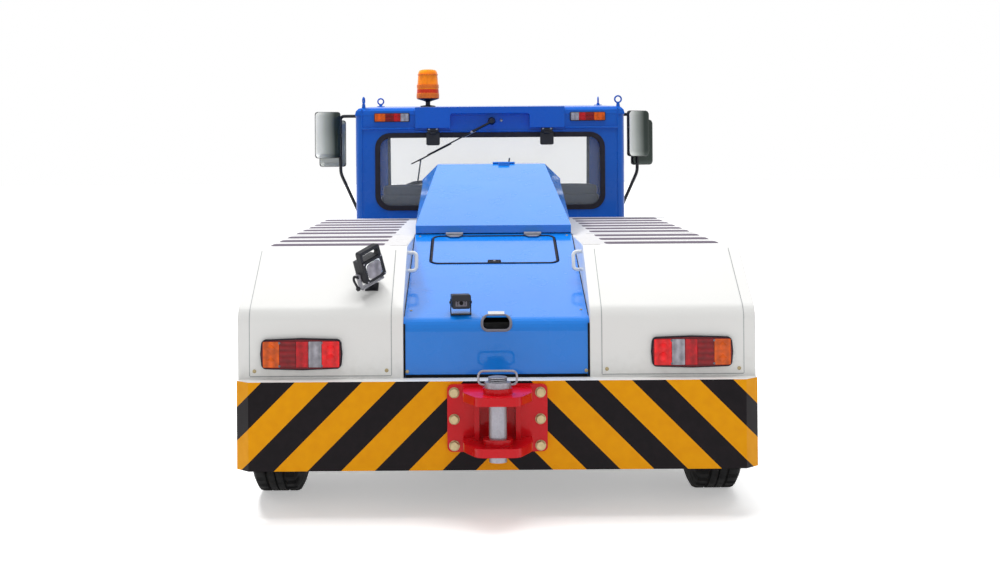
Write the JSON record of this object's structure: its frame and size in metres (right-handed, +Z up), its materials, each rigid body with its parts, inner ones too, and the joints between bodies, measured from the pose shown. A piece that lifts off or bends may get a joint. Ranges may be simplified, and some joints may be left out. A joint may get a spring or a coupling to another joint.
{
  "type": "aircraft pushback tractor",
  "caption": "Low aircraft pushback tractor with slatted decks, a cab at the front, doors, a lifting hood, steered front wheels and a pin hitch at each end.",
  "frame": {"origin": "on the ground, midway between the two bumper faces and the two sides", "axes": "+Y forwards (cab end), +X to the driver's right, +Z up"},
  "size_m": [2.5203, 6.4, 2.1601],
  "materials": {
    "blue": "satin",
    "white": "satin",
    "bumper": "matte",
    "hitch_red": "gloss",
    "black": "satin",
    "deck": "matte",
    "tyre": "matte",
    "steel": "satin",
    "seat": "matte",
    "glass": "polished",
    "lens": "gloss",
    "clear": "gloss",
    "beacon": "gloss"
  },
  "bodies": {
    "chassis": {"beacon": "beacon", "cab_floor": "deck", "cab_front_frame": "blue", "cab_rear_wall": "blue", "cab_roof": "blue", "chassis_frame": "black", "dashboard": "black", "deck_left": "deck", "deck_right": "deck", "engine_block": "steel", "engine_cowl": "blue", "front_axle": "black", "front_body": "white", "front_bumper": "bumper", "front_hitch": "hitch_red", "headlight_left": "clear", "headlight_right": "clear", "mirror_left": "black", "mirror_right": "black", "quarter_glass_left": "glass", "quarter_glass_right": "glass", "rear_axle": "black", "rear_bumper": "bumper", "rear_centre_panel": "blue", "rear_hitch": "hitch_red", "rear_window": "glass", "seat_left": "seat", "seat_right": "seat", "side_box_left": "white", "side_box_right": "white", "steering_wheel": "black", "step_left": "white", "step_right": "white", "tail_lamp_left": "lens", "tail_lamp_right": "lens", "windshield": "glass", "work_light": "black"},
    "wheel_rear_left": {"rear_left_tyre": "tyre", "rear_left_rim": "white"},
    "wheel_rear_right": {"rear_right_tyre": "tyre", "rear_right_rim": "white"},
    "wheel_front_left": {"front_left_tyre": "tyre", "front_left_rim": "white"},
    "wheel_front_right": {"front_right_tyre": "tyre", "front_right_rim": "white"},
    "knuckle_left": {"knuckle_left": "black"},
    "knuckle_right": {"knuckle_right": "black"},
    "tie_rod": {"tie_rod": "black"},
    "door_left": {"door_left": "blue", "door_glass_left": "glass"},
    "door_right": {"door_right": "blue", "door_glass_right": "glass"},
    "hood_lid": {"hood_lid": "blue"},
    "access_hatch": {"access_hatch": "blue"},
    "rear_pin": {"rear_pin": "steel"},
    "front_pin": {"front_pin": "steel"}
  },
  "joints": [
    {"name": "wheel_rear_left_spin", "type": "hinge", "parent": "chassis", "child": "wheel_rear_left", "pos_m": [-1.015, -2.3, 0.45], "axis": [1, 0, 0], "continuous": true},
    {"name": "wheel_rear_right_spin", "type": "hinge", "parent": "chassis", "child": "wheel_rear_right", "pos_m": [1.015, -2.3, 0.45], "axis": [1, 0, 0], "continuous": true},
    {"name": "steer_left", "type": "hinge", "parent": "chassis", "child": "knuckle_left", "pos_m": [-0.78, 2, 0.45], "axis": [0, 0, 1], "range_deg": [-28, 28]},
    {"name": "steer_right", "type": "hinge", "parent": "chassis", "child": "knuckle_right", "pos_m": [0.78, 2, 0.45], "axis": [0, 0, 1], "range_deg": [-28, 28]},
    {"name": "wheel_front_left_spin", "type": "hinge", "parent": "knuckle_left", "child": "wheel_front_left", "pos_m": [-1.015, 2, 0.45], "axis": [1, 0, 0], "continuous": true},
    {"name": "wheel_front_right_spin", "type": "hinge", "parent": "knuckle_right", "child": "wheel_front_right", "pos_m": [1.015, 2, 0.45], "axis": [1, 0, 0], "continuous": true},
    {"name": "tie_rod_left_end", "type": "hinge", "parent": "knuckle_left", "child": "tie_rod", "pos_m": [-0.78, 1.8, 0.36], "axis": [0, 0, 1], "range_deg": [-28, 28]},
    {"name": "door_left_hinge", "type": "hinge", "parent": "chassis", "child": "door_left", "pos_m": [-0.907, 1.425, 1.2], "axis": [0, 0, -1], "range_deg": [0, 75]},
    {"name": "door_right_hinge", "type": "hinge", "parent": "chassis", "child": "door_right", "pos_m": [0.907, 1.425, 1.2], "axis": [0, 0, 1], "range_deg": [0, 75]},
    {"name": "hood_lid_hinge", "type": "hinge", "parent": "chassis", "child": "hood_lid", "pos_m": [0, -0.46, 1.53], "axis": [-1, 0, 0], "range_deg": [0, 60]},
    {"name": "access_hatch_hinge", "type": "hinge", "parent": "chassis", "child": "access_hatch", "pos_m": [0, -1.59155, 1.1682], "axis": [-1, 0, 0], "range_deg": [0, 70]},
    {"name": "rear_pin_lift", "type": "slide", "parent": "chassis", "child": "rear_pin", "axis": [0, 0, 1], "range_m": [0, 0.3]},
    {"name": "front_pin_lift", "type": "slide", "parent": "chassis", "child": "front_pin", "axis": [0, 0, 1], "range_m": [0, 0.3]}
  ],
  "couplings": [
    {"joint": "steer_right", "follows": "steer_left", "ratio": 1},
    {"joint": "tie_rod_left_end", "follows": "steer_left", "ratio": -1}
  ]
}
